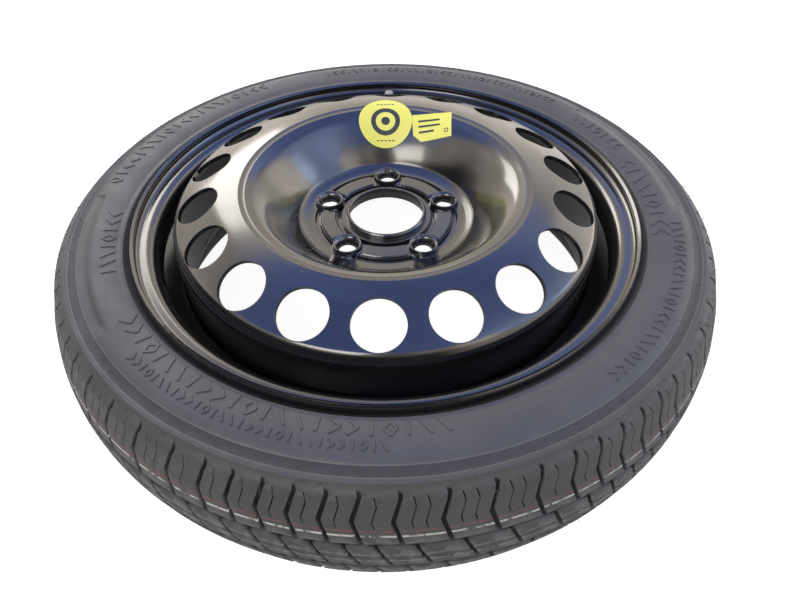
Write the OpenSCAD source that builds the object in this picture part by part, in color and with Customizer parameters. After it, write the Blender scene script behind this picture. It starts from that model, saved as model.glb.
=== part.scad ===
// Space saver spare wheel: a narrow temporary tyre on a black pressed steel wheel.
// The wheel lies flat with its outer face up. The origin is the centre of the face
// that meets the hub, and +Z runs along the spin axis towards the outer face.
// Lengths are in millimetres and angles in degrees. Sections are drawn as [radius, z].

/* [Wheel place] */
// Distance from the tyre's middle plane up to the hub mounting face
wheel_offset = 41; // [36:0.5:46]

/* [Tyre] */
// Height of the tyre over the bead seats
section_h = 88.2; // [86:0.2:90]
// Distance by which each side of the tyre stands out past the rim's flange
tyre_bulge = 12.4; // [10:0.2:15]
// Half of the width of the tread
tread_half_w = 44.3; // [43:0.1:46]
// Drop of the tread from its crown to its edge
tread_drop = 8.9; // [8:0.1:10]
// Height over the bead seats at which the tyre is widest
side_rise = 44.2; // [42:0.2:47]
// Thickness of the sidewall
side_t = 6.5; // [5:0.1:8]
// Thickness of the crown with its tread
crown_t = 11.5; // [10:0.1:14]
// Depth of the fine ribbed band round the sidewall
band_depth = 0.7; // [0.4:0.1:1]
// Height of the ribs that run round the sidewall
rib_h = 0.9; // [0.5:0.1:1.5]

/* [Tread] */
// Depth of the tread grooves
groove_depth = 4.2; // [3:0.1:5]
// Width of the two grooves that run round the tyre
round_groove_w = 4.4; // [3:0.1:5]
// Distance of those grooves from the middle plane
round_groove_z = 14.8; // [14:0.1:16]
// Width of the grooves across the shoulders
shoulder_groove_w = 3.5; // [2.5:0.1:4.5]
// Width of the grooves across the middle blocks
centre_groove_w = 3; // [2:0.1:4]
// Width of the thin cuts in the blocks
sipe_w = 0.9; // [0.6:0.1:1.2]
// Angle of the first long pitch about the spin axis
tread_start = -90; // [-94:1:-86]
// Angle by which the lower shoulder's pattern follows the upper one's
lower_lag = 7.9; // [7:0.1:8.4]

/* [Rim] */
// Radius of the bead seats
seat_r = 202.8; // [202.2:0.1:203.2]
// Width between the flanges
rim_w = 101.6; // [100:0.1:104]
// Thickness of the rim sheet
rim_t = 2.8; // [2.2:0.1:3.2]
// Radius of the flange curl on the tyre's side
curl_r = 8; // [7.5:0.1:8.5]
// Height from the bead seat to the centre of the curl
curl_rise = 9; // [8.6:0.1:9.4]
// Depth of the well's inner wall below the bead seats, where the disc is pressed in
well_drop = 19.1; // [18.4:0.1:19.6]
// Radius of the valve hole
valve_hole_r = 5.65; // [5.4:0.05:5.8]

/* [Disc] */
// Thickness of the disc sheet
disc_t = 3.8; // [3:0.1:4.2]
// Gap between the disc's skirt and the rim's well
skirt_gap = 0.1; // [0.05:0.05:0.2]
// Slope of the bowl's wall
bowl_slope = 47; // [45:0.5:49]
// Slope of the ring that carries the vents
vent_slope = 27; // [25:0.5:29]
// Radius of the crown between bowl and vents, as a share of its distance from the skirt
crown_share = 0.73; // [0.63:0.01:0.76]
// Radius of the bend from the vent ring into the skirt
bend_r = 14; // [11:0.5:16]
// Number of vents
vents = 18; // [16:1:18]
// Radius of a vent
vent_r = 20.2; // [18:0.1:21]
// Distance from the well in to the circle of vent centres
vent_inset = 23.2; // [22.4:0.2:24.6]
// Distance from the bolt circle out to the foot of the bowl
foot_out = 21.5; // [20:0.5:23]
// Height of the vent centres over the mounting face
vent_ring_z = 38.2; // [36:0.2:40]
// Height of the skirt's lower end under the mounting face
skirt_low = 45; // [40:0.5:50]

/* [Hub] */
// Distance from the bolt circle in to the wall of the centre bore
bore_inset = 22.45; // [22:0.05:23]
// Height of the raised collar round the bore
collar_h = 13; // [12:0.5:14]
// Number of wheel bolts
bolts = 5; // [4:1:5]
// Diameter of the bolt circle
bolt_pcd = 110; // [108:0.5:112]
// Radius of a bolt hole
bolt_hole_r = 7.65; // [7:0.05:8]
// Angle of the first bolt hole
bolt_start = 88; // [80:1:96]
// Height of the raised pads between the bolts
pad_h = 9.6; // [9:0.1:10.4]
// Height of the bolt seats
seat_h = 12.4; // [11.5:0.1:13]

/* [Valve] */
// Gap between the valve's body and the disc's skirt
valve_gap = 1.2; // [0.7:0.1:1.5]
// Angle of the valve about the spin axis
valve_angle = 88.3; // [80:0.1:96]
// Radius of the rubber body at the rim
valve_body_r = 6.9; // [6.4:0.1:7.2]
// Radius of the stem's threaded end
stem_r = 3.85; // [3.7:0.05:4]
// Height of the stem's end over the rim's upper flange
stem_rise = 11.2; // [10.2:0.5:13.2]
// Radius of the cap
cap_r = 4.7; // [4.5:0.1:5.2]
// Height of the cap's dome above the stem's end
cap_over = 4; // [3.5:0.1:5]
// Gap between the cap and the stem
cap_gap = 0.08; // [0.05:0.01:0.1]

/* [Labels] */
// Thickness of the labels
label_t = 0.2; // [0.15:0.05:0.3]
// Film of glue under the labels
label_glue = 0.05; // [0.03:0.01:0.1]
// Radius of the round label
round_label_r = 26; // [24:0.5:28]
// Width of the other label
flat_label_w = 38.5; // [36:0.5:42]
// Depth of the other label along the bowl's wall
flat_label_h = 27.5; // [27:0.5:31]

/* [Hidden] */
$fn = 96;

// Colours
rubber_black = [0.16, 0.16, 0.17];
paint_black = [0.07, 0.07, 0.08];
label_yellow = [0.98, 0.96, 0.35];
brass = [0.78, 0.62, 0.32];
cap_grey = [0.45, 0.45, 0.46];

// Small shared values
over = 1;
mid = -wheel_offset;
flange_z = rim_w / 2;
tyre_r = seat_r + section_h;
side_r = seat_r + side_rise;
well_r = seat_r - well_drop;
vent_ring_r = well_r - vent_inset;
bolt_r = bolt_pcd / 2;
bore_r = bolt_r - bore_inset;
tyre_half_w = flange_z + tyre_bulge;
tread_edge_r = tyre_r - tread_drop;
skirt_r = well_r - skirt_gap;
valve_ring_r = skirt_r + valve_gap + valve_body_r;
stem_top = mid + flange_z + stem_rise;

// Points of an arc about c, from angle a0 to angle a1
function arc(c, r, a0, a1, n) =
    [for (i = [0:n]) let (a = a0 + (a1 - a0) * i / n) c + r * [cos(a), sin(a)]];
function unit(v) = v / norm(v);
function side(v) = [-v[1], v[0]];
// Points of a corner at b rounded by r, between the lines to a and c
function corner(a, b, c, r, n) =
    let (u = unit(a - b), v = unit(c - b), half = acos(u * v) / 2,
        o = b + unit(u + v) * r / sin(half), s = b + u * r / tan(half) - o,
        e = b + v * r / tan(half) - o)
    [for (i = [0:n]) o + r * unit(s * (n - i) + e * i)];
// A path of [point, corner radius] pairs, with its corners rounded
function bent(path, n = 6) =
    [for (i = [0:len(path) - 1]) each path[i][1] == 0 ? [path[i][0]]
        : corner(path[i - 1][0], path[i][0], path[i + 1][0], path[i][1], n)];
// The point at distance t beside point i of path p
function beside(p, i, t) =
    let (last = len(p) - 1, a = side(unit(p[max(i, 1)] - p[max(i, 1) - 1])),
        b = side(unit(p[min(i + 1, last)] - p[min(i, last - 1)])), m = unit(a + b))
    p[i] + m * t / (m * a);
function parallel(p, t) = [for (i = [0:len(p) - 1]) beside(p, i, t)];
function flip(p) = [for (i = [len(p) - 1:-1:0]) p[i]];
function mirrored(p) = [for (i = [len(p) - 1:-1:0]) [p[i][0], -p[i][1]]];
// A sheet of thickness t on the left of path p
function sheet(p, t) = concat(p, flip(parallel(p, t)));

// Tyre section
// Radius of the tread surface at distance z from the middle plane
function tread_at(z) = tyre_r - tread_drop * pow(z / tread_half_w, 2);
// Distance of the sidewall from the middle plane at radius r
bead_line_r = seat_r + 19.2;
bead_line_z = flange_z + 5.2;
function side_at(r) = r > side_r
    ? tread_half_w + (tyre_half_w - tread_half_w)
        * sqrt(max(0, 1 - pow((r - side_r) / (tread_edge_r - side_r), 2)))
    : bead_line_z + (tyre_half_w - bead_line_z)
        * sqrt(max(0, 1 - pow((side_r - r) / (side_r - bead_line_r), 2)));
function on_side(r, lift = 0) = [r, side_at(r) + lift];
// Steps down the shoulder, as shares of the way from the widest point to the tread edge
function shoulder_r(s) = side_r + (tread_edge_r - side_r) * s;
ridge_r = shoulder_r(0.67);
band_out_r = shoulder_r(0.57);
band_in_r = shoulder_r(0.375);
band_wide_in_r = side_r + 4.5;
// Steps up the lower side, as shares of the way from the bead line to the widest point
function low_side_r(s) = bead_line_r + (side_r - bead_line_r) * s;
band_edge = 0.5;
rib_r = low_side_r(0.12);
rib_half_w = 0.6;
rib_slope_w = 0.4;

// A groove of width w and depth d round the tread, centred at z
function round_cut(z, w, d, s = 0.4) =
    [[tread_at(z - w / 2), z - w / 2], [tread_at(z) - d, z - w / 2 + s],
        [tread_at(z) - d, z + w / 2 - s], [tread_at(z + w / 2), z + w / 2]];
// A rib of height rib_h round the sidewall at radius r
function side_rib(r) =
    [on_side(r + rib_half_w + rib_slope_w), on_side(r + rib_half_w, rib_h),
        on_side(r - rib_half_w, rib_h), on_side(r - rib_half_w - rib_slope_w)];

slit_w = 1;
slit_depth = 2.4;
// The bead follows the rim's taper, flange and curl
seat_taper = 5;
heel_r = 8;
rim_heel_r = 6.5;
function seat_at(z) = seat_r - (flange_z - rim_heel_r - z) * tan(seat_taper);
curl_c = [seat_r + curl_rise, flange_z + curl_r];
toe_z = flange_z - 16.8;
bead_t = 13;

// Outer half section, from the middle plane to the flange
tread_half = concat([[tyre_r - slit_depth, slit_w / 2 - 0.1], [tread_at(slit_w / 2), slit_w / 2]],
    round_cut(round_groove_z, round_groove_w, groove_depth),
    [for (s = [0.72, 1]) [tread_at(tread_half_w * s), tread_half_w * s]]);
side_half = concat([for (a = [20, 36]) on_side(shoulder_r(cos(a)))],
    side_rib(ridge_r),
    [on_side(band_out_r + band_edge), on_side(band_out_r, -band_depth),
        on_side(band_in_r, -band_depth), on_side(band_in_r - band_edge)],
    [for (s = [0.18, 0]) on_side(shoulder_r(s))],
    [for (s = [0.72, 0.48, 0.28]) on_side(low_side_r(s))],
    side_rib(rib_r));
bead_half = concat([[bead_line_r - 0.3, bead_line_z - 0.6], [bead_line_r - 2, flange_z + 2.4],
        [curl_c[0] + 5, flange_z + 0.6], [curl_c[0] + 2, flange_z]],
    arc([seat_r + heel_r, flange_z - heel_r], heel_r, 90, 180, 5),
    [[seat_at(toe_z + 1), toe_z + 1], [seat_at(toe_z) + 1.5, toe_z]]);
inner_half = [[seat_r + bead_t - 3, toe_z + 3], [seat_r + bead_t + 5, flange_z - 6],
    [side_r - 16, side_at(side_r - 16) - side_t], [side_r, tyre_half_w - side_t],
    [shoulder_r(0.35), side_at(shoulder_r(0.35)) - side_t],
    [shoulder_r(0.62), side_at(shoulder_r(0.62)) - side_t - 1.5],
    [tread_at(tread_half_w * 0.8) - crown_t + 2, tread_half_w * 0.78],
    [tread_at(round_groove_z) - crown_t, round_groove_z]];
tyre_half = concat(tread_half, side_half, bead_half, inner_half);

// Tread pattern
// Pitches of three lengths mix round the tyre, so that it runs quietly
long = 6;
medium = 5;
short = 4;
run = [long, long, long, medium, short, short, short, short, short, medium];
pitches = concat(run, run, run, run, [short, short, short], run, run, run);
function total(p, n) = n <= 0 ? 0 : p[n - 1] + total(p, n - 1);
pitch_deg = 360 / total(pitches, len(pitches));
pitch_angle = [for (i = [0:len(pitches) - 1]) tread_start + pitch_deg * total(pitches, i)];
// The groove over one shoulder, as [sideways, distance from the middle plane, width]
shoulder_line = [[6.1, round_groove_z, 1], [0, 35, 1], [5, 53, 0.85], [2.8, 61, 0.6]];
sipe_line = [[0, 29.5, 1], [-1.6, 35, 1], [1.6, 47.5, 1], [0, 53.3, 1]];
centre_line = [[-5.8, round_groove_z, 1], [5.8, -round_groove_z, 1]];
// Places of the sipes in a pitch, as shares of it
sipes_of_long = [0.42, 0.71];
sipes_of_short = [0.55];
// The shoulder cuts lean with the shoulder, down to a sloping floor
lean_r = tread_at(round_groove_z) - groove_depth;
lean_end_z = tread_half_w + 9.7;
lean_drop = tread_drop + 2.6;
lean = atan(lean_drop / (lean_end_z - round_groove_z));
// Outline of a cut of width w along a line, stretched by k along the line
function cut_outline(line, w, z0, k) =
    concat([for (p = line) [p[0] - w * p[2] / 2, (p[1] - z0) * k]],
        flip([for (p = line) [p[0] + w * p[2] / 2, (p[1] - z0) * k]]));

module radial_cut(line, w, floor_r, z0, tilt) {
    translate([floor_r, 0, z0]) rotate([0, -tilt, 0]) rotate([90, 0, 90])
        linear_extrude(30) polygon(cut_outline(line, w, z0, 1 / cos(tilt)));
}

module shoulder_groove() {
    radial_cut(shoulder_line, shoulder_groove_w, lean_r, round_groove_z, lean);
}

module shoulder_sipe() {
    translate([groove_depth * 0.25, 0, 0])
        radial_cut(sipe_line, sipe_w, lean_r, round_groove_z, lean);
}

module centre_groove() {
    radial_cut(centre_line, centre_groove_w, tread_at(0) - groove_depth - 0.6, 0, 0);
}

// Puts a cut of the upper shoulder on the lower one
module lower(a) {
    rotate([0, 0, a]) rotate([180, 0, 0]) children();
}

module tread_cuts() {
    for (i = [0:len(pitches) - 1]) {
        pitch = pitch_deg * pitches[i];
        start = pitch_angle[i];
        rotate([0, 0, start]) shoulder_groove();
        lower(start + lower_lag) shoulder_groove();
        rotate([0, 0, start + lower_lag / 2]) centre_groove();
        for (k = pitches[i] == long ? sipes_of_long : sipes_of_short) {
            rotate([0, 0, start + pitch * k]) shoulder_sipe();
            lower(start + lower_lag + pitch * (1 - k)) shoulder_sipe();
        }
    }
}

// Two smooth zones where the band of the sidewall is wider
zone_starts = [-3, 176];
zone_angle = 40;
module wide_zones() {
    for (a = zone_starts) rotate([0, 0, a])
        rotate_extrude(angle = zone_angle) polygon([
            on_side(band_in_r + 0.2, -band_depth), on_side((band_in_r + band_wide_in_r) / 2, -band_depth),
            on_side(band_wide_in_r, -band_depth), on_side(band_wide_in_r, 3),
            on_side(band_in_r + 0.2, 3)]);
}

module tyre() {
    color(rubber_black) translate([0, 0, mid]) difference() {
        rotate_extrude() polygon(concat(tyre_half, mirrored(tyre_half)));
        tread_cuts();
        wide_zones();
    }
}

// Rim section on the tyre's side, from the outer flange down to the inner one
curl_end = 40;
curl_hook = arc(curl_c, curl_r, curl_end, -90, 14);
hump_r = 0.6;
hump_z = flange_z - 19.6;
hump_half = 1.8;
hump_foot_z = hump_z - 0.8 - rim_t / 2;
well_side_r = well_r + rim_t;
well_top_z = flange_z - 31.3;
well_low_z = 36.8 - flange_z;
function rim_side(well_z) = concat(curl_hook,
    corner([curl_c[0], flange_z], [seat_r, flange_z], [seat_at(0), 0], rim_heel_r, 6),
    [[seat_at(hump_z + hump_half), hump_z + hump_half], [seat_at(hump_z) + hump_r, hump_z]],
    bent([[[seat_at(hump_z), hump_z - 0.6], 0],
        [[seat_at(hump_foot_z), hump_foot_z], rim_t + 0.2],
        [[well_side_r, well_z], rim_t + 2.2], [[well_side_r, 0], 0]], 4));
rim_line = concat([for (p = rim_side(well_top_z)) if (p[1] > 0) p],
    flip([for (p = rim_side(-well_low_z)) if (p[1] > 0) [p[0], -p[1]]]));

module rim_shape() {
    difference() {
        rotate_extrude() polygon(sheet(flip(rim_line), rim_t));
        at_valve() cylinder(r = valve_hole_r, h = flange_z);
    }
}

module rim() {
    color(paint_black) translate([0, 0, mid]) rim_shape();
}

// Disc section. The bowl's wall and the vent ring are straight, and meet at the crown
shelf_h = 7;
foot_r = bolt_r + foot_out;
foot_bend = 12;
function vent_line(r) = vent_ring_z - (r - vent_ring_r) * tan(vent_slope);
crown_at = (vent_line(0) - shelf_h + foot_r * tan(bowl_slope)) / (tan(bowl_slope) + tan(vent_slope));
crown_r = crown_share * (skirt_r - crown_at);
disc_line = bent([[[foot_r - 7, shelf_h], 0], [[foot_r, shelf_h], foot_bend],
    [[crown_at, vent_line(crown_at)], crown_r], [[skirt_r, vent_line(skirt_r)], bend_r],
    [[skirt_r, -skirt_low], 0]], 12);
// Heights of the pressed rings of the hub, with the sheet's underside at 0 in the grooves
ring_groove_h = 4.5;
land_h = 8.2;
under_pad_h = 7.6;
hollow_h = 3.4;
collar_r = bore_r + 3.1;
bore_chamfer = 0.6;
hub_top = [[bore_r, collar_h - bore_chamfer],
    [bore_r + bore_chamfer, collar_h], [collar_r - 1.4, collar_h], [collar_r - 0.3, collar_h - 1.1],
    [collar_r, land_h], [bolt_r - 15, land_h], [bolt_r - 14, ring_groove_h],
    [bolt_r - 11.2, ring_groove_h], [bolt_r - 10.2, under_pad_h], [bolt_r + 4.2, under_pad_h],
    [bolt_r + 5.2, ring_groove_h], [bolt_r + 7.8, ring_groove_h], [bolt_r + 8.8, shelf_h]];
hub_under = [[bolt_r + 11, hollow_h], [bolt_r + 8.6, 0],
    [bolt_r + 4.8, 0], [bolt_r + 3.6, hollow_h], [bolt_r - 9.4, hollow_h], [bolt_r - 10.4, 0],
    [bolt_r - 14, 0], [bolt_r - 14.8, hollow_h], [collar_r + 0.6, hollow_h], [collar_r, 0],
    [bore_r, 0]];

// Bolt seats
seat_lip_r = 12;
boss_r = 13.4;
seat_cone_r = 11;
seat_throat_z = 7.6;
module at_bolts() {
    for (i = [0:bolts - 1]) rotate([0, 0, bolt_start - i * 360 / bolts]) translate([bolt_r, 0, 0])
        children();
}

module bolt_boss() {
    translate([0, 0, hollow_h]) cylinder(r1 = boss_r + 0.6, r2 = seat_lip_r, h = seat_h - hollow_h);
}

module bolt_hole() {
    translate([0, 0, -over]) cylinder(r = bolt_hole_r, h = seat_h + 2 * over);
    translate([0, 0, seat_throat_z])
        cylinder(r1 = bolt_hole_r, r2 = seat_cone_r, h = seat_h - seat_throat_z + 0.001);
    translate([0, 0, -over]) cylinder(r = seat_lip_r - 0.6, h = hollow_h + over);
}

// Raised pads between the bolts
pad_half = 180 / bolts - 16.5;
module pads() {
    for (i = [0:bolts - 1])
        rotate([0, 0, bolt_start + 180 / bolts - i * 360 / bolts - pad_half])
            rotate_extrude(angle = 2 * pad_half) polygon([[bolt_r - 9.6, under_pad_h - over],
                [bolt_r - 9.6, pad_h - 0.8], [bolt_r - 8.8, pad_h], [bolt_r + 2.8, pad_h],
                [bolt_r + 3.6, pad_h - 0.8], [bolt_r + 3.6, under_pad_h - over]]);
}

// Small pressed pips beside three of the bolts, as [bolt, angle about it]
pips = [[0, 35], [2, -69], [3, 45]];
pip_r = 2.6;
module bolt_pips() {
    for (p = pips) rotate([0, 0, bolt_start - p[0] * 360 / bolts]) translate([bolt_r, 0, 0])
        rotate([0, 0, p[1]]) translate([boss_r + 1, 0, shelf_h]) sphere(r = pip_r);
}

module vent_holes() {
    for (i = [0:vents - 1])
        rotate([0, 0, -92.5 + i * 360 / vents]) translate([vent_ring_r, 0, vent_ring_z])
            rotate([0, vent_slope, 0]) cylinder(r = vent_r, h = 2 * vent_r, center = true);
}

module disc() {
    color(paint_black) difference() {
        union() {
            rotate_extrude()
                polygon(concat(hub_top, disc_line, flip(parallel(disc_line, -disc_t)), hub_under));
            pads();
            at_bolts() bolt_boss();
            bolt_pips();
        }
        at_bolts() bolt_hole();
        vent_holes();
    }
}

// Weld beads under the skirt, against the well
welds = 8;
weld_angle = 26;
weld_w = 4.2;
module disc_welds() {
    color(paint_black) for (i = [0:welds - 1]) rotate([0, 0, (i + 0.5) * 360 / welds - weld_angle / 2])
        rotate_extrude(angle = weld_angle)
            polygon(concat([[well_r, -skirt_low]],
                arc([well_r, -skirt_low], weld_w, 180, 270, 5)));
}

// Labels, each a thin skin on the bowl's wall
label_line = [for (p = disc_line) if (p[1] > -over) p];
module label_skin() {
    rotate_extrude() polygon(concat(parallel(label_line, label_glue),
        flip(parallel(label_line, label_glue + label_t))));
}

// Puts its children at angle a on the bowl's wall, which curves over into the crown there
wall_tilt = 32;
wall_r = foot_r + (crown_at - foot_r) * 0.726;
wall_z = shelf_h + 27;
module on_bowl(a) {
    rotate([0, 0, a]) translate([wall_r, 0, wall_z]) rotate([0, -wall_tilt, 0]) children();
}

round_label_angle = 89.4;
module round_label() {
    color(label_yellow) intersection() {
        label_skin();
        on_bowl(round_label_angle) cylinder(r = round_label_r, h = 2 * round_label_r, center = true);
    }
}

flat_label_angle = 64.5;
flat_label_turn = 22;
clip = 7;
module flat_label() {
    w = flat_label_w / 2;
    h = flat_label_h / 2;
    color(label_yellow) intersection() {
        label_skin();
        on_bowl(flat_label_angle) rotate([0, 0, flat_label_turn])
            translate([0, 0, -round_label_r]) linear_extrude(2 * round_label_r)
                polygon([[h, -w], [h, w], [clip - h, w], [-h, w - clip], [-h, -w + 1]]);
    }
}

// Valve. It stands beside the disc's skirt, parallel to the spin axis
module at_valve() {
    rotate([0, 0, valve_angle]) translate([valve_ring_r, 0, 0]) children();
}

body_top = mid + flange_z - 0.8;
body_low = body_top - 41;
stem_core_r = 3;
air_r = 1.7;
module valve_body() {
    color(rubber_black) difference() {
        at_valve() rotate_extrude() polygon([[stem_core_r, body_low], [valve_body_r - 1.8, body_low],
            [valve_body_r, body_low + 3.5], [valve_body_r, body_top - 15],
            [valve_body_r - 0.8, body_top - 13], [valve_body_r - 1.2, body_top - 4],
            [valve_body_r - 1.6, body_top], [stem_core_r, body_top]]);
        translate([0, 0, mid]) rim_shape();
    }
}

chamber_r = 2.25;
seal_low = stem_top - 13.5;
seal_t = 2;
shoulder_h = 1.2;
module valve_stem() {
    color(brass) at_valve() rotate_extrude() polygon([[air_r, body_low], [stem_core_r, body_low],
        [stem_core_r, body_top], [stem_r + 0.5, body_top], [stem_r + 0.5, body_top + shoulder_h],
        [stem_r, body_top + shoulder_h], [stem_r, stem_top - 0.5], [stem_r - 0.5, stem_top],
        [chamber_r, stem_top], [chamber_r, seal_low], [air_r, seal_low]]);
}

// Valve core
barrel_r = 2.15;
barrel_low = seal_low + seal_t;
barrel_top = stem_top - 1.5;
tube_r = 1.35;
tube_low = seal_low - 1.3;
tube_bore_r = 0.95;
spring_room_r = 1.35;
spring_low = barrel_low + 1.6;
spring_top = barrel_top - 1.6;
module core_barrel() {
    color(brass) at_valve() difference() {
        rotate_extrude() polygon([[tube_bore_r, tube_low], [tube_r, tube_low],
            [tube_r, barrel_low], [barrel_r, barrel_low], [barrel_r, barrel_top],
            [spring_room_r, barrel_top], [spring_room_r, spring_low], [tube_bore_r, spring_low]]);
        translate([0, 0, barrel_top - 0.7]) cube([1.6, 3 * barrel_r, 1.5], center = true);
    }
}

module core_seal() {
    color(rubber_black) at_valve() translate([0, 0, seal_low]) difference() {
        cylinder(r = chamber_r - 0.05, h = seal_t);
        translate([0, 0, -over]) cylinder(r = tube_r + 0.05, h = seal_t + 2 * over);
    }
}

pin_r = 0.55;
pin_low = tube_low - 2.8;
cup_r = 1.3;
cup_t = 1.3;
pin_seal_t = 0.4;
pin_head_r = 0.8;
module core_pin() {
    color(brass) at_valve() rotate_extrude() polygon([[0, pin_low], [pin_r, pin_low],
        [pin_r, tube_low - pin_seal_t - cup_t], [cup_r, tube_low - pin_seal_t - cup_t],
        [cup_r, tube_low - pin_seal_t], [pin_r, tube_low - pin_seal_t], [pin_r, spring_top],
        [spring_room_r - 0.3, spring_top], [spring_room_r - 0.3, spring_top + 0.4],
        [pin_r, spring_top + 0.4], [pin_r, stem_top - 1.2], [pin_head_r, stem_top - 1.1],
        [pin_head_r, stem_top - 0.6], [0, stem_top - 0.6]]);
}

module core_pin_seal() {
    color(rubber_black) at_valve() translate([0, 0, tube_low - pin_seal_t]) difference() {
        cylinder(r = cup_r, h = pin_seal_t);
        translate([0, 0, -over]) cylinder(r = pin_r, h = pin_seal_t + 2 * over);
    }
}

wire_r = 0.14;
spring_r = 0.96;
spring_turns = 7;
spring_pitch = (spring_top - spring_low) / spring_turns;
// A level cut through the coiled wire spans this angle to each side
wire_span = 360 * wire_r / spring_pitch;
module core_spring() {
    half = [for (k = [-1:0.5:1]) let (t = wire_r * sqrt(1 - k * k)) [k * wire_span, t]];
    color(brass) at_valve() translate([0, 0, spring_low])
        linear_extrude(height = spring_top - spring_low, twist = -360 * spring_turns,
            slices = spring_turns * 14, $fn = 8)
            polygon(concat([for (h = half) (spring_r + h[1]) * [cos(h[0]), sin(h[0])]],
                [for (i = [len(half) - 2:-1:1])
                    (spring_r - half[i][1]) * [cos(half[i][0]), sin(half[i][0])]]));
}

// Cap with a domed end and grip flutes
cap_low = body_top + shoulder_h + 0.3;
cap_top = stem_top + cap_over;
cap_bore_r = stem_r + cap_gap;
cap_seal_t = 0.9;
cap_seal_gap = 0.1;
cap_roof = stem_top + cap_seal_gap + cap_seal_t;
cap_dome_r = 2.2;
flutes = 16;
module valve_cap() {
    color(cap_grey) at_valve() difference() {
        rotate_extrude() polygon(concat([[cap_bore_r + 0.3, cap_low], [cap_r - 0.3, cap_low],
            [cap_r, cap_low + 0.4]], arc([cap_r - cap_dome_r, cap_top - cap_dome_r], cap_dome_r, 0, 90, 6),
            [[0, cap_top], [0, cap_roof], [cap_bore_r, cap_roof], [cap_bore_r, cap_low + 0.3]]));
        for (i = [0:flutes - 1]) rotate([0, 0, i * 360 / flutes])
            translate([cap_r + 0.25, 0, cap_low + 1.2]) cylinder(r = 0.5, h = cap_top - cap_low - 5);
    }
}

module cap_seal() {
    color(rubber_black) at_valve() translate([0, 0, cap_roof - cap_seal_t]) difference() {
        cylinder(r = cap_bore_r - 0.1, h = cap_seal_t);
        translate([0, 0, -over]) cylinder(r = chamber_r, h = cap_seal_t + 2 * over);
    }
}

tyre();
rim();
disc();
disc_welds();
round_label();
flat_label();
valve_body();
valve_stem();
core_barrel();
core_seal();
core_pin();
core_pin_seal();
core_spring();
valve_cap();
cap_seal();
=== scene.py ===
import math
import random

import bmesh
import bpy
import numpy as np
from mathutils import Matrix, Vector


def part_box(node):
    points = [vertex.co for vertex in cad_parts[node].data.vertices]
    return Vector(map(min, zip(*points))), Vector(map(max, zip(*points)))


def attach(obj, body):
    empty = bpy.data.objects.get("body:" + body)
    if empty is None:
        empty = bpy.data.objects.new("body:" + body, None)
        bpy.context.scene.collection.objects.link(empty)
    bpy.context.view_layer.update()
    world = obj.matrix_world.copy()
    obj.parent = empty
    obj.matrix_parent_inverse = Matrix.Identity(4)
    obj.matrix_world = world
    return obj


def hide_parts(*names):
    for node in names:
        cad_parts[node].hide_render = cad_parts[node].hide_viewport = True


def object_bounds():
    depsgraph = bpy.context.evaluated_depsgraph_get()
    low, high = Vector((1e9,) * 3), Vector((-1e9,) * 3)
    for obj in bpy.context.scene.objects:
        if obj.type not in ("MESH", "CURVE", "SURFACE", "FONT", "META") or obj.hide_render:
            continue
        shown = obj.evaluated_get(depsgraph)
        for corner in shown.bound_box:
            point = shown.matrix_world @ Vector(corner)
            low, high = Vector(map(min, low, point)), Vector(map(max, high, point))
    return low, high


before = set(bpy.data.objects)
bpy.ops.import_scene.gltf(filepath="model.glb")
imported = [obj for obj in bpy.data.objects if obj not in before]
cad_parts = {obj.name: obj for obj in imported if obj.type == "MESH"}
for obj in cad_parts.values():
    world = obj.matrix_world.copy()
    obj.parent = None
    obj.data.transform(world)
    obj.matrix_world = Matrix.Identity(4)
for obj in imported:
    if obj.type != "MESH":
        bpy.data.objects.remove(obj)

# The wheel lies flat with its outer face up. Sizes here are in millimetres, and mm() turns
# them into metres. Sections are [radius, z] with z over the hub mounting face, as in the CAD.
cad_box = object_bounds()
random.seed(7)


def mm(value):
    return value * 0.001


TYRE_LOW, TYRE_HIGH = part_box("tyre")
FLOOR_Z = cad_box[0].z
MID_Z = (TYRE_LOW.z + TYRE_HIGH.z) * 500
# Radii of the tyre's section: the tread, the tread's edge, the widest place, the bead
TYRE_R, TREAD_DROP = TYRE_HIGH.x * 1000, 8.9
EDGE_R, SIDE_R, BEAD_R = TYRE_R - TREAD_DROP, 247, 222
# Distances from its middle plane: the tread's edge, the widest place, the bead
TREAD_HALF, SIDE_HALF, BEAD_HALF = 44.3, (TYRE_HIGH.z - TYRE_LOW.z) * 500, 56

# Materials


class Graph:
    """Short names for the nodes of a tree."""

    def __init__(self, tree):
        self.tree = tree

    def node(self, kind, vector=None, **sockets):
        """A node with fixed values, and what feeds its Vector."""
        node = self.tree.nodes.new(kind)
        for name, value in sockets.items():
            node.inputs[name].default_value = value
        if vector is not None:
            self.link(vector, node.inputs["Vector"])
        return node

    def link(self, source, target):
        self.tree.links.new(source, target)

    def feed(self, pairs):
        """Sets sockets to numbers or colours, or links them to other sockets."""
        for socket, value in pairs:
            if isinstance(value, bpy.types.NodeSocket):
                self.link(value, socket)
            elif isinstance(value, (int, float)):
                socket.default_value = value
            else:
                socket.default_value = (*value, 1)

    def math(self, operation, a, b=0.0):
        node = self.node("ShaderNodeMath")
        node.operation = operation
        self.feed(zip(node.inputs, (a, b)))
        return node.outputs[0]

    def times(self, *values):
        product = values[0]
        for value in values[1:]:
            product = self.math("MULTIPLY", product, value)
        return product

    def between(self, value, low, high, to_low=0.0, to_high=1.0, soft=False):
        node = self.node("ShaderNodeMapRange")
        node.interpolation_type = "SMOOTHSTEP" if soft else "LINEAR"
        self.feed(zip(node.inputs, (value, low, high, to_low, to_high)))
        return node.outputs["Result"]

    def mix(self, fac, a, b, blend="MIX"):
        node = self.node("ShaderNodeMix")
        node.data_type = "RGBA"
        node.blend_type = blend
        self.feed(((node.inputs["Factor"], fac), (node.inputs[6], a), (node.inputs[7], b)))
        return node.outputs[2]


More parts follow.
